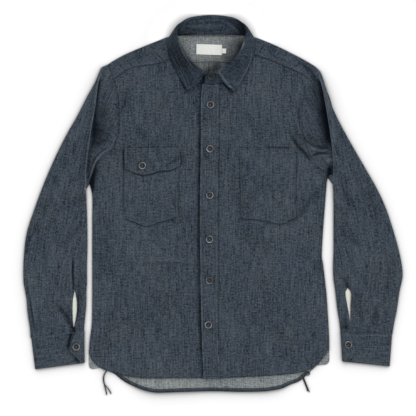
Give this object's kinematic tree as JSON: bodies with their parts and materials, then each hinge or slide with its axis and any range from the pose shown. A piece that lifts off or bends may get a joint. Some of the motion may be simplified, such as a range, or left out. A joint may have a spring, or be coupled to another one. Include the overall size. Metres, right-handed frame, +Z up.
{
  "type": "shirt",
  "caption": "Long-sleeved denim work shirt with chest pockets and a buttoned collar, laid flat on its back.",
  "frame": {"origin": "middle of the shirt's width and length, on the surface that it lies on", "axes": "+X across the shirt to the right as seen from above, +Y from the hem to the collar, +Z up"},
  "size_m": [0.7762, 0.771, 0.037],
  "materials": {
    "denim": "matte indigo twill",
    "denim_inside": "matte, the twill's pale wrong side",
    "collar_denim": "matte indigo twill",
    "self_edge": "matte woven edge",
    "label": "matte woven tag",
    "button": "soft gloss"
  },
  "bodies": {
    "root": {"back": "denim_inside", "yoke": "denim", "front_left": "denim", "front_right": "denim", "button_strip": "denim", "collar_stand": "collar_denim", "collar_leaf": "denim", "sleeve_left": "denim", "sleeve_right": "denim", "self_edge_left": "self_edge", "self_edge_right": "self_edge", "cuff_left": "denim", "cuff_right": "denim", "pocket_left": "denim", "pocket_right": "denim", "pocket_flap": "denim", "gusset_left": "denim_inside", "gusset_right": "denim_inside", "back_hem": "denim", "label": "label", "size_tab": "label", "button_1": "button", "button_2": "button", "button_3": "button", "button_4": "button", "button_5": "button", "button_6": "button", "button_collar": "button", "button_flap": "button", "button_cuff_left": "button", "button_cuff_right": "button"}
  },
  "joints": []
}
